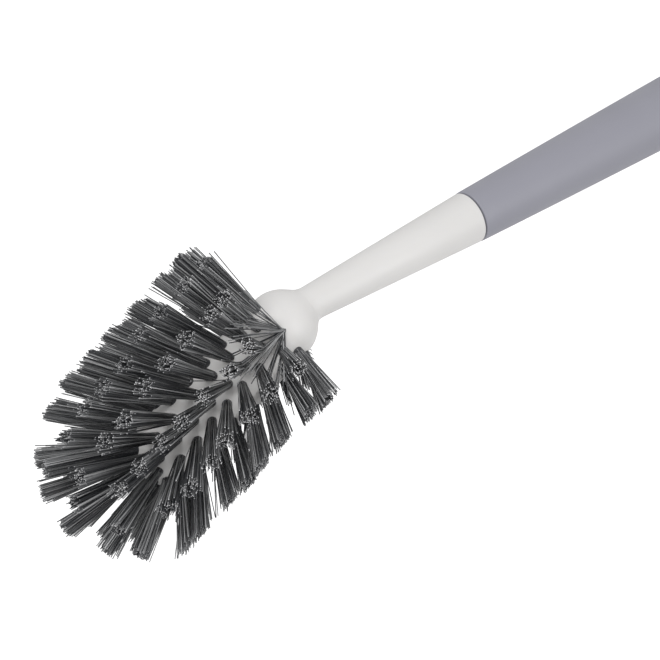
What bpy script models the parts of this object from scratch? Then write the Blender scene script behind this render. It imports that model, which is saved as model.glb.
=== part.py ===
"""Cleaning brush with a bent neck: a slim head set all round with leaning bristle tufts, a tapered
neck moulded in one with the head's core, and a hollow handle with a cap in its far end.

The handle lies along +X with its flat end at the origin. The head dips towards -X and -Z.
"""

from math import cos, pi, radians, sin, sqrt

import bmesh
import bpy
from mathutils import Matrix, Vector

# Handle, measured along its axis from the flat end
HANDLE_LENGTH = 0.190
HANDLE_SEAM_RADIUS = 0.0108
HANDLE_WIDE_RADIUS = 0.0158
HANDLE_BELLY_SHARE = 0.19
HANDLE_WALL = 0.0020
HANDLE_STEPS = 10
CAP_HEIGHT = 0.012
CAP_FLAT_RADIUS = 0.0085
CAP_PLUG_DEPTH = 0.014
CAP_WALL = 0.0018
CAP_ARC_STEPS = 6

# Neck and the spigot that plugs into the handle
NECK_LENGTH = 0.0892
NECK_SEAM_RADIUS = 0.01075
NECK_ROOT_RADIUS = 0.0066
NECK_FILLET = 0.0022
SPIGOT_LENGTH = 0.028
SPIGOT_RADIUS = 0.0075
SPIGOT_CHAMFER = 0.0012
SNAP_DEPTH = 0.0006
SNAP_WIDTH = 0.0030
SNAP_FROM_SEAM = 0.012

# Clearances between pieces
FIT_GAP = 0.0003
SEAM_GAP = 0.0004
MERGE_SHARE = 0.01

# Head: a round bar with a ball at the rear and a dome at the nose
BEND = radians(30.0)
BALL_FROM_BEND = 0.0075
CORE_RADIUS = 0.0141
CORE_BAR_LENGTH = 0.063
CORE_SEGMENTS = 28
HANDLE_SEGMENTS = 40
DOME_STEP = 0.0020

# Tufts: fourteen columns, staggered from ring to ring above, and in step with each other underneath
COLUMNS = 14
EVEN_RING_COLUMNS = (0, 2, 4, 6, 8, 9, 10, 11, 12)
ODD_RING_COLUMNS = (1, 3, 5, 7, 13)
BAR_RINGS = 15
FIRST_RING = 0.0020
LAST_RING_PAST_BAR = 0.0039
FIRST_COLUMN = radians(-35.3)
SWIRL = radians(5.8)
FIRST_BAR_LEAN = radians(-0.6)
LAST_BAR_LEAN = radians(28.7)
LEAN_BULGE_SHARE = 0.66

# Trimmed outline of the bristles about the head's axis, longest on the outside of the bend
TRIM_RADIUS = 0.0390
TRIM_OFFSET = 0.0080
TRIM_DIRECTION = radians(35.0)
TRIM_OVAL = 0.0025
OVAL_DIRECTION = radians(99.0)

# Nose: two rings on the dome and a few tufts on its tip
NOSE_RING_LEANS = (radians(43.0), radians(61.0))
NOSE_RING_TUFTS = (8, 7)
NOSE_RING_ANGLES = (radians(32.0), radians(55.0))
NOSE_TUFT_LENGTH = 0.0325
NOSE_TUFT_GROWTH = 0.0035
TIP_TUFTS = 3
TIP_LEAN = radians(83.0)
TIP_ANGLE = radians(80.0)
TIP_TUFT_LENGTH = 0.0310

# One tuft is drawn as four stout strands that spread from one hole
STRANDS = 4
STRAND_SIDES = 3
HOLE_RADIUS = 0.0011
TUFT_TIP_RADIUS = 0.0025
STRAND_ROOT_RADIUS = 0.00062
STRAND_TIP_RADIUS = 0.00085
STRAND_SINK = 0.0007
SPLAYED_TIP_RADIUS = 0.0060

# Finishes: colour, roughness
WHITE_PLASTIC = ((0.78, 0.78, 0.77), 0.35)
GREY_PLASTIC = ((0.30, 0.30, 0.34), 0.45)
DARK_BRISTLE = ((0.045, 0.045, 0.055), 0.50)


def clear_scene():
    for obj in list(bpy.data.objects):
        bpy.data.objects.remove(obj, do_unlink=True)


def plastic(name, finish):
    colour, roughness = finish
    material = bpy.data.materials.new(name)
    material.use_nodes = True
    shader = material.node_tree.nodes["Principled BSDF"]
    shader.inputs["Base Color"].default_value = (*colour, 1.0)
    shader.inputs["Roughness"].default_value = roughness
    shader.inputs["Metallic"].default_value = 0.0
    return material


def add_object(name, bm, materials, parent):
    """Puts the finished bmesh in the scene, shaded smooth, under the axis that carries it."""
    bmesh.ops.recalc_face_normals(bm, faces=bm.faces)
    mesh = bpy.data.meshes.new(name)
    bm.to_mesh(mesh)
    bm.free()
    for material in materials:
        mesh.materials.append(material)
    mesh.shade_smooth()
    mesh.set_sharp_from_angle(angle=radians(35.0))
    obj = bpy.data.objects.new(name, mesh)
    bpy.context.scene.collection.objects.link(obj)
    obj.parent = parent
    return obj


def add_axis(name, location, turn, parent=None):
    """An empty whose +Z is the axis that pieces are turned about."""
    empty = bpy.data.objects.new(name, None)
    bpy.context.scene.collection.objects.link(empty)
    empty.location = location
    empty.rotation_euler = (0, turn, 0)
    empty.parent = parent
    return empty


def turned(profile, segments):
    """A closed bmesh turned about Z from (radius, height) points. The profile is closed on itself,
    or starts and ends on the axis."""
    bm = bmesh.new()
    verts = [bm.verts.new((radius, 0, height)) for radius, height in profile]
    edges = [bm.edges.new(pair) for pair in zip(verts, verts[1:])]
    if profile[0][0] > 0:
        edges.append(bm.edges.new((verts[-1], verts[0])))
    bmesh.ops.spin(
        bm,
        geom=verts + edges,
        cent=(0, 0, 0),
        axis=(0, 0, 1),
        angle=2 * pi,
        steps=segments,
        use_merge=True,
    )
    bmesh.ops.remove_doubles(bm, verts=bm.verts, dist=FIT_GAP * MERGE_SHARE)
    return bm


def unite(obj, helper):
    """Joins a helper body to the object, and leaves the helper out of the render."""
    helper.hide_render = True
    helper.display_type = "WIRE"
    joined = obj.modifiers.new("joined_" + helper.name, "BOOLEAN")
    joined.operation = "UNION"
    joined.solver = "EXACT"
    joined.object = helper


def handle_radius(height):
    """Outer radius of the handle: it widens from the seam to the cap, a little fuller in between."""
    along = (HANDLE_LENGTH - height) / (HANDLE_LENGTH - CAP_HEIGHT)
    growth = along * (1 + HANDLE_BELLY_SHARE * (1 - along))
    return HANDLE_SEAM_RADIUS + (HANDLE_WIDE_RADIUS - HANDLE_SEAM_RADIUS) * growth


def make_handle_shell(material, parent):
    """The grip is a tube of even wall, thicker where its mouth takes the neck's spigot."""
    rear = CAP_HEIGHT
    front = HANDLE_LENGTH
    plug_stop = rear + CAP_PLUG_DEPTH + FIT_GAP
    socket_end = front - SPIGOT_LENGTH - FIT_GAP
    socket_radius = SPIGOT_RADIUS + FIT_GAP
    bore_radius = handle_radius(rear) - HANDLE_WALL
    bead = front - SNAP_FROM_SEAM
    outer = []
    for step in range(HANDLE_STEPS + 1):
        height = rear + (front - rear) * step / HANDLE_STEPS
        outer.append((handle_radius(height), height))
    inner = [
        (socket_radius, front),
        (socket_radius, bead + SNAP_WIDTH / 2),
        (socket_radius - SNAP_DEPTH, bead),
        (socket_radius, bead - SNAP_WIDTH / 2),
        (socket_radius, socket_end),
    ]
    for step in range(HANDLE_STEPS // 2, -1, -1):
        height = plug_stop + (socket_end - HANDLE_WALL - plug_stop) * step / (HANDLE_STEPS // 2)
        inner.append((handle_radius(height) - HANDLE_WALL, height))
    inner[-1] = (bore_radius, plug_stop)
    inner.append((bore_radius, rear))
    return add_object("handle_shell", turned(outer + inner, HANDLE_SEGMENTS), [material], parent)


def make_end_cap(material, parent):
    """The cap closes the handle with a rounded end, a flat face and a hollow plug."""
    rim_radius = handle_radius(CAP_HEIGHT)
    rim = CAP_HEIGHT - FIT_GAP
    plug_radius = rim_radius - HANDLE_WALL - FIT_GAP
    plug_end = CAP_HEIGHT + CAP_PLUG_DEPTH
    profile = [(0, 0)]
    for step in range(CAP_ARC_STEPS + 1):
        angle = pi / 2 * step / CAP_ARC_STEPS
        radius = CAP_FLAT_RADIUS + (rim_radius - CAP_FLAT_RADIUS) * sin(angle)
        profile.append((radius, rim * (1 - cos(angle))))
    profile += [
        (plug_radius, rim),
        (plug_radius, plug_end),
        (plug_radius - CAP_WALL, plug_end),
        (plug_radius - CAP_WALL, CAP_HEIGHT),
        (0, CAP_HEIGHT - CAP_WALL),
    ]
    return add_object("handle_end_cap", turned(profile, HANDLE_SEGMENTS), [material], parent)


def make_neck(material, handle_axis, head_axis):
    """Spigot, neck and the rear of the ball are one moulding, which the sliced core follows on."""
    tip = HANDLE_LENGTH - SPIGOT_LENGTH
    shoulder = HANDLE_LENGTH + SEAM_GAP
    groove = HANDLE_LENGTH - SNAP_FROM_SEAM
    bend_point = HANDLE_LENGTH + NECK_LENGTH
    ball_face = CORE_RADIUS - BALL_FROM_BEND
    profile = [
        (0, tip),
        (SPIGOT_RADIUS - SPIGOT_CHAMFER, tip),
        (SPIGOT_RADIUS, tip + SPIGOT_CHAMFER),
        (SPIGOT_RADIUS, groove - SNAP_WIDTH / 2),
        (SPIGOT_RADIUS - SNAP_DEPTH, groove),
        (SPIGOT_RADIUS, groove + SNAP_WIDTH / 2),
        (SPIGOT_RADIUS, shoulder),
        (NECK_SEAM_RADIUS, shoulder),
        (NECK_ROOT_RADIUS, bend_point - ball_face - NECK_FILLET),
        (NECK_ROOT_RADIUS, bend_point),
        (0, bend_point),
    ]
    neck = add_object("neck_and_ball", turned(profile, HANDLE_SEGMENTS), [material], handle_axis)
    ball_end = ring_height(0) - ring_pitch() / 2 - FIT_GAP
    ball = core_slice(-CORE_RADIUS, ball_end)
    unite(neck, add_object("ball_rear", ball, [material], head_axis))
    return neck


def core_radius(height):
    """Radius of the core: a bar that ends in half balls, with height zero at the rear ball's centre."""
    beyond = max(0, -height, height - CORE_BAR_LENGTH)
    return sqrt(max(0, CORE_RADIUS**2 - beyond**2))


def core_slice(low, high):
    """A slice of the core between two heights, with extra steps where the surface is curved."""
    heights = [low]
    while heights[-1] < high:
        height = heights[-1] + DOME_STEP
        curved = height < 0 or height > CORE_BAR_LENGTH
        heights.append(min(height, high) if curved and height < high - DOME_STEP / 2 else high)
    profile = [(core_radius(height), height) for height in heights]
    if profile[0][0] > 0:
        profile.insert(0, (0, low))
    if profile[-1][0] > 0:
        profile.append((0, high))
    return turned(profile, CORE_SEGMENTS)


def ring_pitch():
    """Rings are spread evenly from the first one to the last, which stands just past the bar's end."""
    return (CORE_BAR_LENGTH + LAST_RING_PAST_BAR - FIRST_RING) / (BAR_RINGS - 1)


def ring_height(index):
    return FIRST_RING + ring_pitch() * index


def bar_lean(index):
    """The lean to the nose grows along the bar, faster at first."""
    along = index / (BAR_RINGS - 1)
    growth = along * (1 + LEAN_BULGE_SHARE * (1 - along))
    return FIRST_BAR_LEAN + (LAST_BAR_LEAN - FIRST_BAR_LEAN) * growth


def outward(angle):
    return Vector((cos(angle), sin(angle), 0))


def trim_radius(angle):
    """The outline that the shears leave: an oval, set off from the head's axis."""
    offset = TRIM_OFFSET * cos(angle - TRIM_DIRECTION)
    oval = TRIM_OVAL * cos(2 * (angle - OVAL_DIRECTION))
    return TRIM_RADIUS + offset + oval


def add_strand(bm, root, tip):
    """One stout three-sided strand from inside the core to its cut end."""
    along = (tip - root).normalized()
    middle = (root + tip) / 2
    frame = along.to_track_quat("Z", "Y").to_matrix().to_4x4()
    bmesh.ops.create_cone(
        bm,
        cap_ends=True,
        segments=STRAND_SIDES,
        radius1=STRAND_ROOT_RADIUS,
        radius2=STRAND_TIP_RADIUS,
        depth=(tip - root).length,
        matrix=Matrix.Translation(middle) @ frame,
    )


def add_tuft(bm, root, along, length, spread):
    """Strands stand round the hole's centre and lean apart towards their cut ends."""
    side = along.orthogonal().normalized()
    across = along.cross(side)
    for strand in range(STRANDS):
        angle = 2 * pi * (strand + 1 / 2) / STRANDS
        offset = side * cos(angle) + across * sin(angle)
        start = root + offset * HOLE_RADIUS
        end = root + along * length + offset * spread
        add_strand(bm, start - (end - start).normalized() * STRAND_SINK, end)


def bar_tuft(bm, index, column):
    """A tuft on the bar: it leans to the nose and is swung round the core, cut on the trimmed outline."""
    height = ring_height(index)
    angle = FIRST_COLUMN + 2 * pi * column / COLUMNS
    lean = bar_lean(index)
    radius = core_radius(height)
    swung = outward(angle + SWIRL)
    along = swung * cos(lean) + Vector((0, 0, sin(lean)))
    length = (trim_radius(angle + SWIRL) - radius * cos(SWIRL)) / cos(lean)
    root = outward(angle) * radius + Vector((0, 0, height))
    splayed = index == 0 and column == 0
    add_tuft(bm, root, along, length, SPLAYED_TIP_RADIUS if splayed else TUFT_TIP_RADIUS)


def dome_tuft(bm, latitude, angle, lean, length):
    """A tuft on the nose dome, at a latitude measured from the dome's equator. Like the bar's tufts,
    it is longest on the side where the trimmed outline lies farthest out."""
    height = CORE_BAR_LENGTH + CORE_RADIUS * sin(latitude)
    root = outward(angle) * core_radius(height) + Vector((0, 0, height))
    along = outward(angle + SWIRL) * cos(lean) + Vector((0, 0, sin(lean)))
    grown = length + NOSE_TUFT_GROWTH * cos(angle - TRIM_DIRECTION)
    add_tuft(bm, root, along, grown, TUFT_TIP_RADIUS)


def make_ring(number, low, high, tufts, materials, head_axis):
    """One slice of the core with its tufts fused to it."""
    tufts_bm = bmesh.new()
    for tuft in tufts:
        tuft(tufts_bm)
    for face in tufts_bm.faces:
        face.material_index = 1
    name = f"tuft_ring_{number:02d}"
    ring = add_object(name, core_slice(low, high), materials, head_axis)
    unite(ring, add_object(f"strands_{number:02d}", tufts_bm, materials, head_axis))
    return ring


def ring_limits():
    """Heights of the cuts between slices, from the first ring to the tip of the dome."""
    cuts = [ring_height(index) - ring_pitch() / 2 for index in range(BAR_RINGS + 1)]
    middle = sum(NOSE_RING_ANGLES) / len(NOSE_RING_ANGLES)
    cuts.append(CORE_BAR_LENGTH + CORE_RADIUS * sin(middle))
    cuts.append(CORE_BAR_LENGTH + CORE_RADIUS)
    return cuts


def ring_tufts(index):
    """What stands on one slice, as calls that still need the mesh to add to."""
    if index < BAR_RINGS:
        columns = ODD_RING_COLUMNS if index % 2 else EVEN_RING_COLUMNS
        return [lambda bm, c=column: bar_tuft(bm, index, c) for column in columns]
    nose = index - BAR_RINGS
    count = NOSE_RING_TUFTS[nose]
    start = FIRST_COLUMN + 2 * pi / COLUMNS * (index % 2)
    angles = [start + 2 * pi * tuft / count for tuft in range(count)]
    latitude = NOSE_RING_ANGLES[nose]
    lean = NOSE_RING_LEANS[nose]
    calls = [lambda bm, a=a: dome_tuft(bm, latitude, a, lean, NOSE_TUFT_LENGTH) for a in angles]
    if nose == len(NOSE_RING_TUFTS) - 1:
        for tuft in range(TIP_TUFTS):
            angle = start + 2 * pi * tuft / TIP_TUFTS
            calls.append(lambda bm, a=angle: dome_tuft(bm, TIP_ANGLE, a, TIP_LEAN, TIP_TUFT_LENGTH))
    return calls


def main():
    clear_scene()
    white = plastic("white_plastic", WHITE_PLASTIC)
    grey = plastic("grey_plastic", GREY_PLASTIC)
    dark = plastic("dark_bristle", DARK_BRISTLE)
    handle_axis = add_axis("handle_axis", (0, 0, 0), -pi / 2)
    bend_height = HANDLE_LENGTH + NECK_LENGTH + BALL_FROM_BEND * cos(BEND)
    ball_centre = (-BALL_FROM_BEND * sin(BEND), 0, bend_height)
    head_axis = add_axis("head_axis", ball_centre, -BEND, handle_axis)
    make_handle_shell(grey, handle_axis)
    make_end_cap(grey, handle_axis)
    make_neck(white, handle_axis, head_axis)
    cuts = ring_limits()
    for index, (low, high) in enumerate(zip(cuts, cuts[1:])):
        last = index == len(cuts) - 2
        top = high if last else high - FIT_GAP
        make_ring(index + 1, low, top, ring_tufts(index), [white, dark], head_axis)
    bpy.context.view_layer.update()


main()
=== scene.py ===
# %% [markdown]
# # A cleaning brush with leaning tufts
# The real brush is a white moulding pressed into a hollow grey handle. The moulding is a tapered
# neck that ends in a ball, and a slim bar that goes on from the ball at a bend. Well over a hundred
# bundles of dark filaments stand in holes all round the bar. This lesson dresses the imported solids.
# The mouldings are turned from profiles, and every filament is its own thin rod, because bundles of
# rods are what the eye reads on such a brush.

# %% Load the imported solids
import random
from math import atan2, cos, hypot, pi, radians, sin, sqrt

import bmesh
import bpy
from mathutils import Matrix, Vector


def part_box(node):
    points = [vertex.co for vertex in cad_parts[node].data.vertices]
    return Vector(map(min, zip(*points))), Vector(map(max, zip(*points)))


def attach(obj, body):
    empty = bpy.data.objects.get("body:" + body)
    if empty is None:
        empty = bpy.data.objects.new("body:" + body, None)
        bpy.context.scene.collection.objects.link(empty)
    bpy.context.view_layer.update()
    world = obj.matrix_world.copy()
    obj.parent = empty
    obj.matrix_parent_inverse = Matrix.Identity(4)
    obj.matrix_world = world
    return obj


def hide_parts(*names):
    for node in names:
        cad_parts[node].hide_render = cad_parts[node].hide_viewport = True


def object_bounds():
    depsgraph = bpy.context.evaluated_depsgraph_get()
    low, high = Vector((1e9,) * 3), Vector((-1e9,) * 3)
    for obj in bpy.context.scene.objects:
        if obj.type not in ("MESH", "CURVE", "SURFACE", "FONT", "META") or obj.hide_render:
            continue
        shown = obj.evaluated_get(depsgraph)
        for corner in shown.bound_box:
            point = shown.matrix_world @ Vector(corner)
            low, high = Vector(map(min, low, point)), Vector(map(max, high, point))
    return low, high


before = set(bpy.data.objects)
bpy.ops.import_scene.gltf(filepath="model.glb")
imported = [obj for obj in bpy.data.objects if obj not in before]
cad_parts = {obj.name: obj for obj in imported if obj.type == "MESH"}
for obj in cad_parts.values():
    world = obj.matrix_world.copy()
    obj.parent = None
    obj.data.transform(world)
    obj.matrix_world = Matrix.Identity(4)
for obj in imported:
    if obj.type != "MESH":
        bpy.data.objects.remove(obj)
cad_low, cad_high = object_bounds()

print("solids:", len(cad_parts), "box:", tuple(cad_low), tuple(cad_high))

# %% [markdown]
# Everything is placed from two axes. The handle's axis runs along -X from its flat end at the
# origin. The head's axis starts at the ball's centre and dips by the bend. Working in each axis's
# own space keeps the profiles simple, and one matrix puts the finished mesh in its place.

# %% Axes of the handle and the head
BEND = radians(30.0)
NECK_LENGTH = 0.0892
BALL_FROM_BEND = 0.0075

seam = -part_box("handle_shell")[0].x
bend_point = seam + NECK_LENGTH
handle_space = Matrix.Rotation(-pi / 2, 4, "Y")
head_space = (
    handle_space
    @ Matrix.Translation((0, 0, bend_point))
    @ Matrix.Rotation(-BEND, 4, "Y")
    @ Matrix.Translation((0, 0, BALL_FROM_BEND))
)
ball_centre = head_space.translation
print("seam at", round(seam, 4), "m, ball centre at", [round(v, 4) for v in ball_centre])

# %% [markdown]
# A smooth moulding from a machine still has a faint orange-peel skin, and its gloss isn't the same
# everywhere. Both plastics share that effect, so it is one node group with named inputs: fine noise
# drives a bump, and slow noise drifts the colour and the roughness.

# %% Node group for a moulded skin
SKIN_INPUTS = (
    ("Colour", "NodeSocketColor", (0.8, 0.8, 0.8, 1.0)),
    ("Shaded Colour", "NodeSocketColor", (0.7, 0.7, 0.7, 1.0)),
    ("Peel Scale", "NodeSocketFloat", 900.0),
    ("Peel Height", "NodeSocketFloat", 0.00001),
    ("Drift Scale", "NodeSocketFloat", 35.0),
    ("Smoothest", "NodeSocketFloat", 0.35),
    ("Roughest", "NodeSocketFloat", 0.5),
)
SKIN_OUTPUTS = (
    ("Colour", "NodeSocketColor"),
    ("Roughness", "NodeSocketFloat"),
    ("Normal", "NodeSocketVector"),
)


def add_skin_sockets(group):
    for name, kind, default in SKIN_INPUTS:
        socket = group.interface.new_socket(name=name, in_out="INPUT", socket_type=kind)
        socket.default_value = default
    for name, kind in SKIN_OUTPUTS:
        group.interface.new_socket(name=name, in_out="OUTPUT", socket_type=kind)


def moulded_skin_group():
    group = bpy.data.node_groups.new("moulded skin", "ShaderNodeTree")
    add_skin_sockets(group)
    nodes = group.nodes
    links = group.links
    given = nodes.new("NodeGroupInput")
    result = nodes.new("NodeGroupOutput")
    place = nodes.new("ShaderNodeTexCoord")
    peel = nodes.new("ShaderNodeTexNoise")
    peel.inputs["Detail"].default_value = 3.0
    drift = nodes.new("ShaderNodeTexNoise")
    drift.inputs["Detail"].default_value = 2.0
    bump = nodes.new("ShaderNodeBump")
    bump.inputs["Strength"].default_value = 0.6
    tint = nodes.new("ShaderNodeMix")
    tint.data_type = "RGBA"
    gloss = nodes.new("ShaderNodeMapRange")
    gloss.inputs["From Min"].default_value = 0.3
    gloss.inputs["From Max"].default_value = 0.7
    links.new(place.outputs["Object"], peel.inputs["Vector"])
    links.new(place.outputs["Object"], drift.inputs["Vector"])
    links.new(given.outputs["Peel Scale"], peel.inputs["Scale"])
    links.new(given.outputs["Drift Scale"], drift.inputs["Scale"])
    links.new(peel.outputs["Fac"], bump.inputs["Height"])
    links.new(given.outputs["Peel Height"], bump.inputs["Distance"])
    links.new(drift.outputs["Fac"], tint.inputs["Factor"])
    links.new(given.outputs["Colour"], tint.inputs["A"])
    links.new(given.outputs["Shaded Colour"], tint.inputs["B"])
    links.new(drift.outputs["Fac"], gloss.inputs["Value"])
    links.new(given.outputs["Smoothest"], gloss.inputs["To Min"])
    links.new(given.outputs["Roughest"], gloss.inputs["To Max"])
    links.new(tint.outputs["Result"], result.inputs["Colour"])
    links.new(gloss.outputs["Result"], result.inputs["Roughness"])
    links.new(bump.outputs["Normal"], result.inputs["Normal"])
    return group


moulded_skin = moulded_skin_group()
print("moulded skin:", len(moulded_skin.nodes), "nodes")

# %% [markdown]
# The head moulding is a warm white plastic that lets a little light in below its skin, so it gets
# some subsurface. The handle is a satin blue grey that lets no light in. Its peel is finer and
# deeper, and it is the duller of the two. Two separate sets of nodes would do, but one function
# makes both, and each call names what differs.

# %% The two plastics


def plastic_material(name, colour, shaded, peel_scale, peel_height, smoothest, roughest):
    material = bpy.data.materials.new(name)
    material.use_nodes = True
    nodes = material.node_tree.nodes
    links = material.node_tree.links
    shader = nodes["Principled BSDF"]
    skin = nodes.new("ShaderNodeGroup")
    skin.node_tree = moulded_skin
    skin.inputs["Colour"].default_value = (*colour, 1.0)
    skin.inputs["Shaded Colour"].default_value = (*shaded, 1.0)
    skin.inputs["Peel Scale"].default_value = peel_scale
    skin.inputs["Peel Height"].default_value = peel_height
    skin.inputs["Smoothest"].default_value = smoothest
    skin.inputs["Roughest"].default_value = roughest
    links.new(skin.outputs["Colour"], shader.inputs["Base Color"])
    links.new(skin.outputs["Roughness"], shader.inputs["Roughness"])
    links.new(skin.outputs["Normal"], shader.inputs["Normal"])
    return material


white_plastic = plastic_material(
    "warm white plastic",
    colour=(0.70, 0.69, 0.68),
    shaded=(0.66, 0.65, 0.64),
    peel_scale=700.0,
    peel_height=0.00001,
    smoothest=0.34,
    roughest=0.46,
)
white_shader = white_plastic.node_tree.nodes["Principled BSDF"]
white_shader.inputs["Subsurface Weight"].default_value = 0.12
white_shader.inputs["Subsurface Radius"].default_value = (0.003, 0.0028, 0.0025)
grey_plastic = plastic_material(
    "satin blue grey plastic",
    colour=(0.278, 0.278, 0.321),
    shaded=(0.259, 0.259, 0.298),
    peel_scale=1100.0,
    peel_height=0.00002,
    smoothest=0.42,
    roughest=0.56,
)
print("plastics:", white_plastic.name, "and", grey_plastic.name)

# %% [markdown]
# Brush filament is drawn nylon. Along its sides it is a dark, slightly glossy grey, and each rod gets
# its own brightness, from near black to a pale grey: partly the rods' own tone, partly painted
# highlight for the glint that glossy rods catch one by one. The shears leave its cut ends rough and
# paler. The variation comes from an attribute that each rod carries, so it follows the rods and not a
# pattern in space.

# %% Filament materials
SHADE = "shade"


def filament_material(name, darkest, palest, roughness):
    material = bpy.data.materials.new(name)
    material.use_nodes = True
    nodes = material.node_tree.nodes
    links = material.node_tree.links
    shader = nodes["Principled BSDF"]
    shade = nodes.new("ShaderNodeAttribute")
    shade.attribute_name = SHADE
    tint = nodes.new("ShaderNodeMix")
    tint.data_type = "RGBA"
    tint.inputs["A"].default_value = (*darkest, 1.0)
    tint.inputs["B"].default_value = (*palest, 1.0)
    shader.inputs["Roughness"].default_value = roughness
    links.new(shade.outputs["Fac"], tint.inputs["Factor"])
    links.new(tint.outputs["Result"], shader.inputs["Base Color"])
    return material


# The pale end of the rods' range is partly painted highlight, for the glint of glossy nylon.
bristle_side = filament_material(
    "charcoal filament",
    darkest=(0.038, 0.040, 0.044),
    palest=(0.50, 0.503, 0.51),
    roughness=0.28,
)
bristle_end = filament_material(
    "cut filament end",
    darkest=(0.36, 0.36, 0.37),
    palest=(0.85, 0.85, 0.86),
    roughness=0.7,
)
print("filament:", bristle_side.name, "and", bristle_end.name)

# %% [markdown]
# Round mouldings are turned: a profile of a few points is spun about its axis. A Screw modifier
# could do that too, but the operator leaves a plain mesh, whose points can still be moved. The
# spin's seam is merged with use_merge, and the normals are recalculated, because a spin can leave
# them inward.

# %% Turning a profile
TURN_STEPS = 128
MERGE_DISTANCE = 0.000002
CORNER_STEPS = 4
SHARP_EDGE = radians(40.0)


def turned(profile):
    """A bmesh turned about Z from (radius, height) points, closed on itself or on the axis."""
    bm = bmesh.new()
    verts = [bm.verts.new((radius, 0, height)) for radius, height in profile]
    edges = [bm.edges.new(pair) for pair in zip(verts, verts[1:])]
    if profile[0][0] > 0:
        edges.append(bm.edges.new((verts[-1], verts[0])))
    bmesh.ops.spin(
        bm,
        geom=verts + edges,
        cent=(0, 0, 0),
        axis=(0, 0, 1),
        angle=2 * pi,
        steps=TURN_STEPS,
        use_merge=True,
    )
    bmesh.ops.remove_doubles(bm, verts=bm.verts, dist=MERGE_DISTANCE)
    bmesh.ops.recalc_face_normals(bm, faces=bm.faces)
    return bm


def finished(name, bm, space, materials):
    """Places the mesh itself, so that the object stays at the origin, and shades it smooth."""
    bm.transform(space)
    mesh = bpy.data.meshes.new(name)
    bm.to_mesh(mesh)
    bm.free()
    for material in materials:
        mesh.materials.append(material)
    mesh.shade_smooth()
    mesh.set_sharp_from_angle(angle=SHARP_EDGE)
    obj = bpy.data.objects.new(name, mesh)
    bpy.context.scene.collection.objects.link(obj)
    return obj


def corner(centre, radius, first, last):
    """Points of a rounded corner: an arc about a centre, between two angles."""
    points = []
    for step in range(CORNER_STEPS + 1):
        angle = first + (last - first) * step / CORNER_STEPS
        points.append((centre[0] + radius * cos(angle), centre[1] + radius * sin(angle)))
    return points


print("a full turn has", TURN_STEPS, "steps")

# %% [markdown]
# The handle widens from the seam to its end. A cone would look stiff, because the real one is a
# little fuller in between, so its radius follows a formula. Its mouth has a small rounded edge, and
# the joint shows as a thin dark line with a soft lip, as on the real brush. The wall is real: the
# tube is open inside, with a socket for the spigot.

# %% Handle
CAP_HEIGHT = -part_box("handle_shell")[1].x
HANDLE_SEAM_RADIUS = 0.0109
HANDLE_WIDE_RADIUS = (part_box("handle_shell")[1].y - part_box("handle_shell")[0].y) / 2
HANDLE_BELLY = 0.19
HANDLE_STEPS = 24
WALL = 0.0020
SOCKET_RADIUS = 0.0078
SOCKET_DEPTH = 0.0283
LIP = 0.0005


def handle_radius(height):
    along = (seam - height) / (seam - CAP_HEIGHT)
    growth = along * (1 + HANDLE_BELLY * (1 - along))
    return HANDLE_SEAM_RADIUS + (HANDLE_WIDE_RADIUS - HANDLE_SEAM_RADIUS) * growth


def make_handle():
    start = CAP_HEIGHT + LIP
    stop = seam - LIP
    profile = corner((handle_radius(CAP_HEIGHT) - LIP, start), LIP, -pi / 2, 0)
    for step in range(1, HANDLE_STEPS):
        height = start + (stop - start) * step / HANDLE_STEPS
        profile.append((handle_radius(height), height))
    profile += corner((handle_radius(seam) - LIP, stop), LIP, 0, pi / 2)
    profile += [(SOCKET_RADIUS, seam), (SOCKET_RADIUS, seam - SOCKET_DEPTH)]
    bore_front = seam - SOCKET_DEPTH - WALL
    profile.append((handle_radius(bore_front) - WALL, bore_front))
    profile.append((handle_radius(CAP_HEIGHT) - WALL, CAP_HEIGHT))
    return finished("grip", turned(profile), handle_space, [grey_plastic])


grip = make_handle()
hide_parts("handle_shell")
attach(grip, "root")
print("grip:", len(grip.data.polygons), "faces")

# %% [markdown]
# The cap closes the far end, which the photograph doesn't show. Its face stays flat, because that is
# where the brush can be stood against something, and a quarter ellipse rounds it into the grip. A
# bevel would give a quarter circle, and an ellipse can be longer one way than the other.

# %% End cap
CAP_FIT = 0.0003
CAP_FLAT_RADIUS = 0.0085
CAP_PLUG_DEPTH = 0.014
CAP_ARC_STEPS = 16


def make_cap():
    rim_radius = handle_radius(CAP_HEIGHT)
    rim = CAP_HEIGHT - CAP_FIT
    plug = rim_radius - WALL - CAP_FIT
    profile = [(0, 0)]
    for step in range(CAP_ARC_STEPS + 1):
        angle = pi / 2 * step / CAP_ARC_STEPS
        radius = CAP_FLAT_RADIUS + (rim_radius - CAP_FLAT_RADIUS) * sin(angle)
        profile.append((radius, rim * (1 - cos(angle))))
    profile.append((plug, rim))
    profile += [(plug, CAP_HEIGHT + CAP_PLUG_DEPTH), (0, CAP_HEIGHT + CAP_PLUG_DEPTH)]
    return finished("end_cap", turned(profile), handle_space, [grey_plastic])


end_cap = make_cap()
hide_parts("handle_end_cap")
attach(end_cap, "root")
print("end cap:", len(end_cap.data.polygons), "faces")

# %% [markdown]
# The white moulding is one piece on the real brush, so it is one piece here. It has two axes, so it
# starts as two turned profiles: the spigot and the neck about the handle's axis, and the ball, bar
# and nose about the head's axis. The neck's last stretch has close steps, which the fillet needs.

# %% Profiles of the neck and the core
NECK_SEAM_RADIUS = 0.01075
NECK_ROOT_RADIUS = 0.0066
SPIGOT_LENGTH = 0.028
SPIGOT_RADIUS = 0.0075
SEAM_GAP = 0.0006
FILLET_LENGTH = 0.014
FILLET_STEPS = 30
CORE_RADIUS = 0.0141
BAR_LENGTH = 0.063
DOME_STEPS = 48


def neck_radius(height):
    growth = (height - seam) / NECK_LENGTH
    return NECK_SEAM_RADIUS + (NECK_ROOT_RADIUS - NECK_SEAM_RADIUS) * growth


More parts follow.
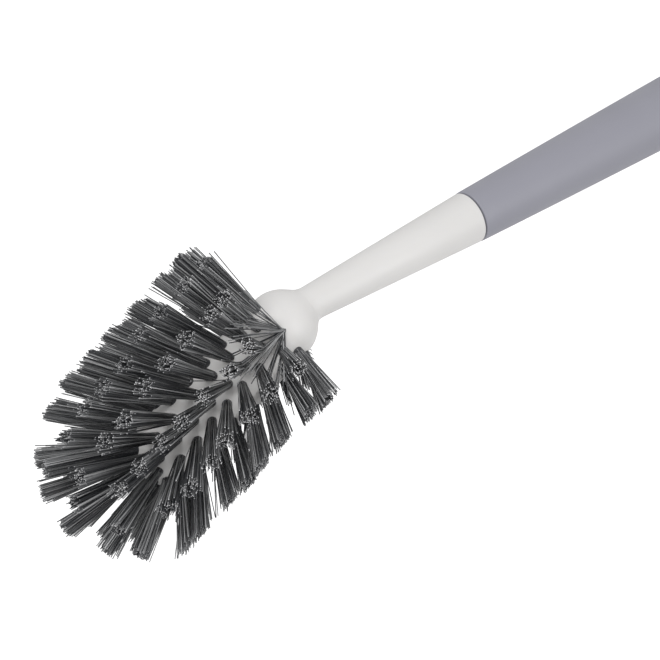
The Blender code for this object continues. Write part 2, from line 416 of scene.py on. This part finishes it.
def neck_profile():
    spigot_end = seam - SPIGOT_LENGTH
    shoulder = seam + SEAM_GAP
    profile = [(0, spigot_end), (SPIGOT_RADIUS, spigot_end), (SPIGOT_RADIUS, shoulder)]
    profile += corner((NECK_SEAM_RADIUS - LIP, shoulder + LIP), LIP, -pi / 2, 0)
    for step in range(FILLET_STEPS + 1):
        height = bend_point - FILLET_LENGTH * (1 - step / FILLET_STEPS)
        profile.append((neck_radius(height), height))
    profile.append((0, bend_point))
    return profile


def core_profile():
    profile = []
    for step in range(DOME_STEPS + 1):
        angle = pi / 2 * step / DOME_STEPS
        profile.append((CORE_RADIUS * sin(angle), -CORE_RADIUS * cos(angle)))
    for step in range(DOME_STEPS + 1):
        angle = pi / 2 * step / DOME_STEPS
        profile.append((CORE_RADIUS * cos(angle), BAR_LENGTH + CORE_RADIUS * sin(angle)))
    profile[0] = (0, -CORE_RADIUS)
    profile[-1] = (0, BAR_LENGTH + CORE_RADIUS)
    return profile


print("core:", round(BAR_LENGTH + 2 * CORE_RADIUS, 4), "m long")

# %% [markdown]
# Where the neck meets the ball, the real moulding has a soft fillet. A bevel along a Boolean's edge
# is fragile, so both skins swell towards each other before they are joined. Each point moves out by
# the rise of a smooth minimum, which fades to nothing where the other skin is one blend away.

# %% Fillet between neck and ball
BLEND = 0.0032


def rise(gap):
    """How far a skin swells where the other one is a gap away, so that the two run together."""
    nearness = max(0, 1 - max(0, gap) / BLEND)
    return BLEND / 4 * nearness**2


def gap_to_neck(point):
    local = handle_space.inverted() @ point
    aside = hypot(local.x, local.y) - neck_radius(local.z)
    beyond = max(0, local.z - bend_point)
    return hypot(max(0, aside), beyond) if beyond else aside


def swell_towards_neck(bm):
    for vert in bm.verts:
        if vert.co.z < 0:
            vert.co += vert.co.normalized() * rise(gap_to_neck(head_space @ vert.co))


def swell_towards_ball(bm):
    for vert in bm.verts:
        aside = Vector((vert.co.x, vert.co.y, 0))
        gap = (handle_space @ vert.co - ball_centre).length - CORE_RADIUS
        if aside.length > 0:
            vert.co += aside.normalized() * rise(gap)


print("both skins rise by", BLEND / 4, "m where they touch")

# %% [markdown]
# A Boolean union makes the two mouldings one closed skin. The exact solver takes longer than the
# fast one but holds where the skins run almost level. They meet there at a small angle, so the
# joined piece is shaded smooth again, and only its true corners stay sharp.

# %% Head moulding
UNION_SHARP_EDGE = radians(60.0)


def make_moulding():
    core = turned(core_profile())
    swell_towards_neck(core)
    shaft = turned(neck_profile())
    swell_towards_ball(shaft)
    moulding = finished("head_moulding", core, head_space, [white_plastic])
    neck = finished("neck_helper", shaft, handle_space, [white_plastic])
    union = moulding.modifiers.new("neck", "BOOLEAN")
    union.operation = "UNION"
    union.solver = "EXACT"
    union.object = neck
    bpy.context.view_layer.update()
    graph = bpy.context.evaluated_depsgraph_get()
    joined = bpy.data.meshes.new_from_object(moulding.evaluated_get(graph))
    moulding.modifiers.clear()
    moulding.data = joined
    bpy.data.objects.remove(neck)
    joined.shade_smooth()
    joined.set_sharp_from_angle(angle=UNION_SHARP_EDGE)
    return moulding


ring_nodes = sorted(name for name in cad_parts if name.startswith("tuft_ring_"))
head_moulding = make_moulding()
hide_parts("neck_and_ball", *ring_nodes)
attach(head_moulding, "root")
print("head moulding:", len(head_moulding.data.polygons), "faces")

# %% [markdown]
# Each tuft is a bundle of several dozen rods that leave one round hole side by side and spread a
# little. Hair curves would be lighter, but a mesh can be exported as it is. Circles just below the
# core's skin are the rods' feet. The whole bundle is extruded three times at once, and each rod
# moves by its own step and a sideways one that grows, so it runs its own way with a slight bow. The
# last faces become the cut ends, a little wider than the rod, as shears leave them. Most rods are
# dark and a few pale. Random numbers come from the ring's own seed, so every run gives the same
# brush.

# %% One tuft of filaments
FILAMENT_RADIUS = 0.00019
CUT_FLARE = 1.1
FILAMENT_SIDES = 5
FILAMENT_STEPS = 3
SINK = 0.0012
BOW = 0.0005
SHADE_POWER = 2.5
ROD = "rod"


def filament_tuft(bm, rods, rng):
    """Adds rods, given as (start, direction, length), to the bmesh."""
    shade_layer = bm.verts.layers.float.get(SHADE) or bm.verts.layers.float.new(SHADE)
    rod_layer = bm.verts.layers.int.get(ROD) or bm.verts.layers.int.new(ROD)
    faces = []
    steps = []
    for number, (start, along, length) in enumerate(rods):
        frame_of_rod = along.to_track_quat("Z", "Y").to_matrix().to_4x4()
        begin = start - along * SINK
        made = bmesh.ops.create_circle(
            bm,
            cap_ends=True,
            radius=FILAMENT_RADIUS,
            segments=FILAMENT_SIDES,
            matrix=Matrix.Translation(begin) @ frame_of_rod,
        )["verts"]
        # Each rod's brightness: partly its own tone, partly a painted highlight.
        shade = rng.random() ** SHADE_POWER
        for vert in made:
            vert[shade_layer] = shade
            vert[rod_layer] = number
        faces.append(made[0].link_faces[0])
        side = along.orthogonal().normalized()
        bow = (side * rng.uniform(-1, 1) + along.cross(side) * rng.uniform(-1, 1)) * BOW
        steps.append((along * (length + SINK) / FILAMENT_STEPS, bow))
    for step in range(FILAMENT_STEPS):
        grown = bmesh.ops.extrude_face_region(bm, geom=faces)["geom"]
        faces = [item for item in grown if isinstance(item, bmesh.types.BMFace)]
        for item in grown:
            if isinstance(item, bmesh.types.BMVert):
                forward, bow = steps[item[rod_layer]]
                item.co += forward + bow * (2 * step + 1) / FILAMENT_STEPS**2
    for face in faces:
        face.material_index = 1
        to_centre = Matrix.Translation(-face.calc_center_median())
        bmesh.ops.scale(bm, vec=Vector.Fill(3, CUT_FLARE), space=to_centre, verts=face.verts)


print("a rod has", FILAMENT_SIDES, "sides and", FILAMENT_STEPS, "stretches")

# %% [markdown]
# The tufts follow a strict pattern of fourteen columns round the bar. On the side that the
# photograph shows, every other ring is turned by half a step, so that its tufts stand between those
# of the ring before. Underneath, all tufts stand in the even rings. They lean to the nose, more
# from ring to ring and fastest at first, and all of them are swung a little the same way round. A
# loop over a few angles gives that, and a hair's breadth of disorder keeps it from looking made.

# %% Pattern of the tufts
COLUMNS = 14
EVEN_RING_COLUMNS = (0, 2, 4, 6, 8, 9, 10, 11, 12)
ODD_RING_COLUMNS = (1, 3, 5, 7, 13)
BAR_RINGS = 15
FIRST_RING = 0.0020
LAST_RING = BAR_LENGTH + 0.0039
RING_PITCH = (LAST_RING - FIRST_RING) / (BAR_RINGS - 1)
FIRST_COLUMN = radians(-35.3)
SWIRL = radians(5.8)
FIRST_BAR_LEAN = radians(-0.6)
LAST_BAR_LEAN = radians(28.7)
LEAN_BULGE = 0.66
UNRULY = radians(1.0)


def outward(angle):
    return Vector((cos(angle), sin(angle), 0))


def bar_lean(index):
    """The lean to the nose grows along the bar, faster at first."""
    along = index / (BAR_RINGS - 1)
    growth = along * (1 + LEAN_BULGE * (1 - along))
    return FIRST_BAR_LEAN + (LAST_BAR_LEAN - FIRST_BAR_LEAN) * growth


def leaning(angle, lean, rng):
    """Direction of a tuft: outward round the bar, leaning to the nose, and not quite tidy."""
    turned_angle = angle + SWIRL + rng.uniform(-UNRULY, UNRULY)
    lean += rng.uniform(-UNRULY, UNRULY)
    return outward(turned_angle) * cos(lean) + Vector((0, 0, sin(lean)))


print("rings stand", round(RING_PITCH, 5), "m apart")

# %% [markdown]
# Shears trim the tufts of the bar to an oval that is set off from the head's axis, so they are
# longer on the outside of the bend. Trimming could be a Boolean cut, but that would be slow on
# thousands of rods. A rod's length is worked out instead, from where it meets the oval.

# %% Trimming
TRIM_RADIUS = 0.0392
TRIM_OFFSET = 0.0080
TRIM_DIRECTION = radians(35.0)
TRIM_OVAL = 0.0025
OVAL_DIRECTION = radians(99.0)
FLAT = Vector((1, 1, 0))


def trimmed_length(start, along):
    """Distance along a rod from its start to the trimmed outline, seen along the head's axis."""
    flat_start = start * FLAT
    flat_along = along * FLAT
    heading = atan2(along.y, along.x)
    offset = TRIM_OFFSET * cos(heading - TRIM_DIRECTION)
    outline = TRIM_RADIUS + offset + TRIM_OVAL * cos(2 * (heading - OVAL_DIRECTION))
    slant = flat_along.length_squared
    headway = flat_start.dot(flat_along)
    shortfall = outline**2 - flat_start.length_squared
    return (sqrt(headway * headway + slant * shortfall) - headway) / slant


trimmed_sides = [outward(TRIM_DIRECTION), outward(TRIM_DIRECTION + pi)]
trimmed_width = sum(trimmed_length(Vector(), side) for side in trimmed_sides)
print("trimmed outline:", round(trimmed_width, 4), "m across")

# %% [markdown]
# The rods of a tuft start on evenly scattered spots of the hole and aim at the same spots of a
# wider disc at the trimmed end. Every rod misses its spot a little, and a few of them stray. A
# sunflower spiral spaces the spots evenly without a grid, which would show as rows.

# %% Rods of one tuft
FILAMENTS = 76
HOLE_RADIUS = 0.0019
TUFT_TIP_RADIUS = 0.0033
SPREAD_NOISE = 0.1
SPIRAL_NOISE = 0.25
SCATTER = 0.0012
STRAY = 0.0036
STRAY_SHARE = 0.05
LONGEST_ROD = 0.040
UNEVEN_CUT = 0.0010
GOLDEN_ANGLE = pi * (3 - sqrt(5))


def disc_spots(count, rng):
    """Evenly scattered spots in a disc of radius one, from a sunflower spiral with a little noise."""
    spots = []
    for index in range(count):
        radius = sqrt((index + 0.5) / count)
        angle = GOLDEN_ANGLE * index + rng.uniform(-SPIRAL_NOISE, SPIRAL_NOISE)
        spots.append((radius * cos(angle), radius * sin(angle)))
    return spots


def bundle(root, surface_normal, along, rng, length=None, spread=TUFT_TIP_RADIUS):
    """The rods of one tuft. A length is given on the nose, and comes from the trimming elsewhere."""
    side = along.orthogonal().normalized()
    across = along.cross(side)
    reach = length or trimmed_length(root, along)
    rods = []
    for x, y in disc_spots(FILAMENTS, rng):
        offset = side * x + across * y
        start = root + offset * HOLE_RADIUS
        start -= along * (start - root).dot(surface_normal) / along.dot(surface_normal)
        widening = rng.uniform(1 - SPREAD_NOISE, 1 + SPREAD_NOISE)
        aim = root + along * reach + offset * spread * widening
        scatter = STRAY if rng.random() < STRAY_SHARE else SCATTER
        aim += (side * rng.uniform(-1, 1) + across * rng.uniform(-1, 1)) * scatter
        way = (aim - start).normalized()
        own = (aim - start).length if length else trimmed_length(start, way)
        uneven = rng.uniform(-UNEVEN_CUT, UNEVEN_CUT)
        rods.append((start, way, min(own, LONGEST_ROD) + uneven))
    return rods


print("a tuft has", FILAMENTS, "rods")

# %% [markdown]
# No brush stays strict. On the real one some tufts stand out of line, and the eye sees that at once.
# A random disorder would put them in the wrong places, so this table names them. Rings are counted
# from the ball and columns round the bar. A tuft of the table leans or swings by some degrees more,
# its root is turned about the bar in degrees or shifted to the nose in millimetres, and it is cut
# shorter by some millimetres. The numbers were set from renders beside the photograph.

# %% Tufts that stand out of line
MILLIMETRES_PER_METRE = 1000


def comb(rings, columns, lean=0, swing=0, turn=0, shift=0, cut=0):
    """One row of the table, with its angles in radians and its lengths in metres."""
    angles = radians(lean), radians(swing), radians(turn)
    lengths = shift / MILLIMETRES_PER_METRE, cut / MILLIMETRES_PER_METRE
    return rings, columns, angles + lengths


COMBED = (
    comb((3,), (13,), lean=-1.1, swing=-7.1, turn=6.0, shift=1.4),
    comb((5,), (13,), lean=-1.1, swing=-7.1, turn=6.9, shift=1.4),
    comb((7,), (13,), lean=-0.2, swing=-4.5, turn=4.8, shift=1.0),
    comb((9,), (13,), lean=-0.4, swing=-5.8, turn=3.7, shift=0.3),
    comb((1,), (1,), lean=-1.4, swing=1.6),
    comb((3, 5, 7, 9), (1,), lean=-4.0, shift=-3.0),
    comb((11, 13), (1,), lean=-5.0, swing=-7.0),
    comb((2, 4, 6), (2,), lean=-1.0, swing=-2.5),
    comb((8, 10, 12), (2,), lean=-2.0, swing=-12.0),
    comb((14,), (2,), lean=0.4, swing=-15.4),
    comb((3,), (3,), lean=-2.5, shift=-1.2),
    comb((11,), (3,), lean=2.0),
    comb((13,), (3,), lean=3.0, cut=3.4),
    comb((0,), (2,), lean=1.0, cut=0.5),
    comb((0,), (4,), lean=5.4),
    comb((0,), (6,), cut=1.0),
    comb((4,), (4,), lean=2.5),
    comb((12,), (4,), lean=-5.0),
    comb((14,), (4,), lean=-1.5, cut=2.0),
    comb((3,), (5,), lean=-5.0),
    comb((11,), (5,), lean=-4.0),
    comb((0,), (9, 10, 11), lean=24.0, cut=1.0),
    comb((2,), (9, 10, 11), lean=12.0, shift=0.5, cut=2.0),
    comb((4,), (9,), lean=14.0, cut=1.5),
    comb((4,), (10,), lean=20.0, cut=0.5),
    comb((4,), (11,), lean=19.0, cut=3.5),
    comb((6,), (9,), lean=15.0, cut=1.5),
    comb((6,), (10,), lean=22.5, cut=0.5),
    comb((6,), (11,), lean=21.5, cut=3.5),
    comb((8,), (9,), lean=8.0, cut=1.5),
    comb((8,), (10,), lean=11.5, shift=1.5, cut=0.5),
    comb((8,), (11,), lean=10.0, shift=1.5, cut=2.0),
    comb((10,), (9,), lean=10.0, cut=1.5),
    comb((10,), (10,), lean=13.0, cut=0.5),
    comb((10,), (11,), lean=10.5, cut=3.5),
    comb((12,), (9,), lean=17.0, cut=2.0),
    comb((12,), (10,), lean=18.5, shift=2.5, cut=1.0),
    comb((12,), (11,), lean=16.5, shift=2.5, cut=4.0),
    comb((14,), (9,), lean=12.0, cut=1.5),
    comb((14,), (10,), lean=19.0, cut=1.0),
    comb((14,), (11,), lean=16.4, cut=5.0),
    comb((0,), (12,), lean=11.5, swing=-11.0, shift=1.0, cut=-1.0),
    comb((2,), (12,), lean=7.0, swing=-11.0, cut=0.8),
    comb((4,), (12,), lean=14.0, swing=-8.0, shift=1.0, cut=0.5),
    comb((6,), (12,), lean=13.5, swing=-10.0, cut=0.5),
    comb((8,), (12,), lean=5.0, swing=-10.0, cut=-0.6),
    comb((10,), (12,), lean=5.5, swing=-10.0),
    comb((12,), (12,), lean=12.5, swing=-10.0, shift=1.0),
    comb((14,), (12,), lean=7.5, swing=-10.0, cut=0.8),
)


def combed(index, column):
    """Extra lean, swing and turn, shift and cut of a tuft, all zero where it stands in line."""
    for rings, columns, moved in COMBED:
        if index in rings and column in columns:
            return moved
    return 0, 0, 0, 0, 0


print("rows of tufts out of line:", len(COMBED))

# %% [markdown]
# One tuft of the first ring has been crushed in use or in its packet: its rods lie splayed in a fan
# over the nearest part of the head. It is small, and it is the first thing seen next to the ball. A
# bundle with one direction can't show it, so each of its rods gets a turn of its own.

# %% The splayed tuft
SPLAYED_TUFT = (0, 0)
FAN_FILAMENTS = 60
FAN_ANGLE = radians(-43.5)
FAN_HEIGHT = 0.0008
FAN_LOW = radians(-92.0)
FAN_HIGH = radians(44.0)
FAN_TILT = radians(60.0)
FAN_SCATTER = radians(7.0)
FAN_SHORTEST = 0.021
FAN_LONGEST = 0.029
FAN_ROOT_RADIUS = 0.0006


def splayed(rng):
    rods = []
    ahead = Vector((0, 0, 1))
    aside = outward(FAN_ANGLE - pi / 2)
    root = outward(FAN_ANGLE) * CORE_RADIUS + ahead * FAN_HEIGHT
    for x, y in disc_spots(FAN_FILAMENTS, rng):
        share = rng.random()
        turn = FAN_LOW + (FAN_HIGH - FAN_LOW) * share
        tilt = FAN_TILT + rng.uniform(-FAN_SCATTER, FAN_SCATTER)
        flat = ahead * cos(turn) + aside * sin(turn)
        way = outward(FAN_ANGLE) * cos(tilt) + flat * sin(tilt)
        start = root + (aside * x + ahead * y) * FAN_ROOT_RADIUS
        rods.append((start, way, rng.uniform(FAN_SHORTEST, FAN_LONGEST)))
    return rods


print("the splayed tuft has", FAN_FILAMENTS, "rods")

# %% [markdown]
# The tufts of a ring have their roots on the core's skin. The last ring of the bar is already on
# the start of the round nose, so the core's radius and the way its skin faces are worked out at
# each root, where one radius for all would leave some roots in the air. The column that faces the
# reader is the tidiest of the real brush, and its tufts spread less than the others.

# %% Tufts of the bar
FRONT_TIP_RADIUS = 0.0026


def bar_ring(index, rng):
    tufts = []
    for column in ODD_RING_COLUMNS if index % 2 else EVEN_RING_COLUMNS:
        if (index, column) == SPLAYED_TUFT:
            tufts.append(splayed(rng))
            continue
        more_lean, swing, turn, shift, cut = combed(index, column)
        height = FIRST_RING + RING_PITCH * index + shift
        radius = sqrt(CORE_RADIUS**2 - max(0, height - BAR_LENGTH) ** 2)
        angle = FIRST_COLUMN + 2 * pi * column / COLUMNS + turn
        root = outward(angle) * radius + Vector((0, 0, height))
        normal = (root - Vector((0, 0, min(height, BAR_LENGTH)))).normalized()
        along = leaning(angle + swing, bar_lean(index) + more_lean, rng)
        tip_radius = TUFT_TIP_RADIUS if column else FRONT_TIP_RADIUS
        rods = bundle(root, normal, along, rng, spread=tip_radius)
        tufts.append([(start, way, length - cut) for start, way, length in rods])
    return tufts


tuft_count = BAR_RINGS // 2 * len(ODD_RING_COLUMNS) + (BAR_RINGS + 1) // 2 * len(EVEN_RING_COLUMNS)
print("tufts of the bar:", tuft_count)

# %% [markdown]
# The bar ends in a round nose, and the tufts there stand on circles of latitude. A formula for them
# would miss the real brush, whose nose is less strict than its bar, so each place is given by its
# angle round the nose and its lean, both in degrees. A lean of 90 points straight ahead. These
# tufts, too, are a little longer on the outside of the bend.

# %% Tufts of the nose
NOSE_LENGTH = 0.0325
NOSE_GROWTH = 0.0033
FIRST_NOSE_RING = {
    35: (
        (-78, 55),
        (-50, 45),
        (-15, 33),
        (12, 48),
        (40, 51),
        (68, 50),
        (96, 52),
        (124, 56),
        (152, 62),
        (180, 65),
        (-150, 72),
        (-115, 73),
    )
}
LAST_NOSE_RING = {
    60: ((-70, 73), (-19, 43), (26, 60), (75, 62), (125, 70), (165, 78), (-120, 89)),
    82: ((-5, 70), (80, 80)),
}


def nose_ring(latitudes, rng):
    tufts = []
    for latitude, places in latitudes.items():
        up_the_nose = radians(latitude)
        for around, lean in places:
            angle = radians(around)
            normal = outward(angle) * cos(up_the_nose) + Vector((0, 0, sin(up_the_nose)))
            root = normal * CORE_RADIUS + Vector((0, 0, BAR_LENGTH))
            reach = NOSE_LENGTH + NOSE_GROWTH * cos(angle - TRIM_DIRECTION)
            tufts.append(bundle(root, normal, leaning(angle, radians(lean), rng), rng, reach))
    return tufts


nose_places = [*FIRST_NOSE_RING.values(), *LAST_NOSE_RING.values()]
print("tufts of the nose:", sum(len(places) for places in nose_places))

# %% [markdown]
# A ring of tufts is one object, which stands for that ring's solid. Where the rods leave the core,
# a dark plug fills the rest of the hole, as the folded filaments do below the surface. Each tuft is
# grown in a bmesh of its own and then added to the ring, because the operators get slow in a large
# one.

# %% Rings of bristles
PLUG_RADIUS = 0.0020
PLUG_SIDES = 14
PLUG_DEPTH = 0.0024


def add_plug(bm, rods):
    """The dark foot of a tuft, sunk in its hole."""
    foot = sum((start for start, _, _ in rods), Vector()) / len(rods)
    way = sum((along for _, along, _ in rods), Vector()).normalized()
    bmesh.ops.create_cone(
        bm,
        cap_ends=True,
        segments=PLUG_SIDES,
        radius1=PLUG_RADIUS,
        radius2=PLUG_RADIUS,
        depth=PLUG_DEPTH,
        matrix=Matrix.Translation(foot) @ way.to_track_quat("Z", "Y").to_matrix().to_4x4(),
    )


def add_tuft(ring_mesh, rods, rng, plugged):
    tuft_mesh = bmesh.new()
    filament_tuft(tuft_mesh, rods, rng)
    if plugged:
        add_plug(tuft_mesh, rods)
    loose = bpy.data.meshes.new("tuft")
    tuft_mesh.to_mesh(loose)
    tuft_mesh.free()
    ring_mesh.from_mesh(loose)
    bpy.data.meshes.remove(loose)


def ring_of_tufts(index, rng):
    if index < BAR_RINGS:
        return bar_ring(index, rng)
    return nose_ring(FIRST_NOSE_RING if index == BAR_RINGS else LAST_NOSE_RING, rng)


rod_count = 0
for index, node in enumerate(ring_nodes):
    rng = random.Random(index)
    ring_mesh = bmesh.new()
    for number, rods in enumerate(ring_of_tufts(index, rng)):
        add_tuft(ring_mesh, rods, rng, plugged=(index, number) != SPLAYED_TUFT)
        rod_count += len(rods)
    bmesh.ops.recalc_face_normals(ring_mesh, faces=ring_mesh.faces)
    name = f"bristles_{index + 1:02d}"
    bristles = finished(name, ring_mesh, head_space, [bristle_side, bristle_end])
    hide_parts(node)
    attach(bristles, "root")
print("filaments:", rod_count)

# %% [markdown]
# The photograph was taken in very even light on pure white. A pale floor well below the brush and a
# white world give that. Stronger lamps would whiten the ground too, but they would bleach the brush.
# So Light Path nodes do it: the camera sees the floor lifted and the world fully white, reflections
# see that white world too, and the light that falls on the brush stays at a plain level.

# %% Floor and world
FLOOR_DROP = 0.22
FLOOR_SIZE = 6.0
FLOOR_LIFT = 0.45
WORLD_LEVEL = 0.56


def make_floor():
    bm = bmesh.new()
    bmesh.ops.create_grid(bm, x_segments=1, y_segments=1, size=FLOOR_SIZE / 2)
    mesh = bpy.data.meshes.new("floor")
    bm.to_mesh(mesh)
    bm.free()
    floor = bpy.data.objects.new("floor", mesh)
    floor.location = (ball_centre.x, 0, cad_low.z - FLOOR_DROP)
    bpy.context.scene.collection.objects.link(floor)
    material = bpy.data.materials.new("pale floor")
    material.use_nodes = True
    nodes = material.node_tree.nodes
    links = material.node_tree.links
    shader = nodes["Principled BSDF"]
    shader.inputs["Base Color"].default_value = (0.85, 0.85, 0.85, 1.0)
    shader.inputs["Roughness"].default_value = 0.9
    shader.inputs["Emission Color"].default_value = (1.0, 1.0, 1.0, 1.0)
    path = nodes.new("ShaderNodeLightPath")
    lift = nodes.new("ShaderNodeMath")
    lift.operation = "MULTIPLY"
    lift.inputs[1].default_value = FLOOR_LIFT
    links.new(path.outputs["Is Camera Ray"], lift.inputs[0])
    links.new(lift.outputs[0], shader.inputs["Emission Strength"])
    mesh.materials.append(material)


def make_world():
    world = bpy.data.worlds.new("studio")
    world.use_nodes = True
    nodes = world.node_tree.nodes
    links = world.node_tree.links
    sky = nodes["Background"]
    sky.inputs["Color"].default_value = (1.0, 1.0, 1.0, 1.0)
    path = nodes.new("ShaderNodeLightPath")
    mirrored = nodes.new("ShaderNodeMath")
    mirrored.operation = "MAXIMUM"
    seen = nodes.new("ShaderNodeMath")
    seen.operation = "MAXIMUM"
    level = nodes.new("ShaderNodeMapRange")
    level.inputs["To Min"].default_value = WORLD_LEVEL
    level.inputs["To Max"].default_value = 1.0
    links.new(path.outputs["Is Glossy Ray"], mirrored.inputs[0])
    links.new(path.outputs["Is Transmission Ray"], mirrored.inputs[1])
    links.new(path.outputs["Is Camera Ray"], seen.inputs[0])
    links.new(mirrored.outputs[0], seen.inputs[1])
    links.new(seen.outputs[0], level.inputs["Value"])
    links.new(level.outputs["Result"], sky.inputs["Strength"])
    bpy.context.scene.world = world


make_floor()
make_world()
print("floor", FLOOR_DROP, "m below the solids, world level", WORLD_LEVEL)

# %% [markdown]
# The camera was fitted to the photograph's handle edges, seam, ball and tuft roots: a long lens that
# looks down on the brush from the side of the head, with no roll and no shift. Two slides in the
# camera's own plane put the ball left of the picture's middle, and the handle runs out of the
# picture at its right edge.

# %% Camera
AZIMUTH = radians(-38.68)
ELEVATION = radians(43.64)
DISTANCE = 0.684
SLIDE_RIGHT = 0.01857
SLIDE_UP = -0.00145
SENSOR = 36.0
FOCAL_PIXELS = 1800.0
IMAGE_WIDTH = 660.0
NEAREST = 0.01

back = Vector((sin(AZIMUTH) * cos(ELEVATION), -cos(AZIMUTH) * cos(ELEVATION), sin(ELEVATION)))
right = Vector((cos(AZIMUTH), sin(AZIMUTH), 0))
up = back.cross(right)


def make_camera():
    data = bpy.data.cameras.new("camera")
    data.sensor_width = SENSOR
    data.lens = SENSOR * FOCAL_PIXELS / IMAGE_WIDTH
    data.clip_start = NEAREST
    camera = bpy.data.objects.new("camera", data)
    place = ball_centre + back * DISTANCE + right * SLIDE_RIGHT + up * SLIDE_UP
    turn = Matrix((right, up, back)).transposed()
    camera.matrix_world = Matrix.Translation(place) @ turn.to_4x4()
    bpy.context.scene.collection.objects.link(camera)
    bpy.context.scene.camera = camera
    return camera


camera = make_camera()
print("lens:", round(camera.data.lens, 1), "mm")

# %% [markdown]
# Two large lamps give the mouldings their soft highlights. One stands well to the right of the
# camera and a little lower. The other is brighter and stands higher, to the camera's left. Small
# lamps would draw hard shadows between the tufts, which the photograph doesn't have. The Standard
# view transform shows a colour about as it is written.

# %% Soft lamps
KEY_DIRECTION = back + right * 1.1 - up * 0.2
FILL_DIRECTION = back + up * 0.6 - right * 0.45


def soft_lamp(name, direction, distance, size, power):
    """A large square lamp that looks at the ball from a direction."""
    data = bpy.data.lights.new(name, "AREA")
    data.size = size
    data.energy = power
    lamp = bpy.data.objects.new(name, data)
    toward = direction.normalized()
    lamp.location = ball_centre + toward * distance
    lamp.rotation_euler = toward.to_track_quat("Z", "Y").to_euler()
    bpy.context.scene.collection.objects.link(lamp)


soft_lamp("key lamp", KEY_DIRECTION, distance=1.2, size=0.8, power=5.0)
soft_lamp("fill lamp", FILL_DIRECTION, distance=1.3, size=0.7, power=8.0)
bpy.context.scene.view_settings.view_transform = "Standard"
print("lamps:", len(bpy.data.lights))
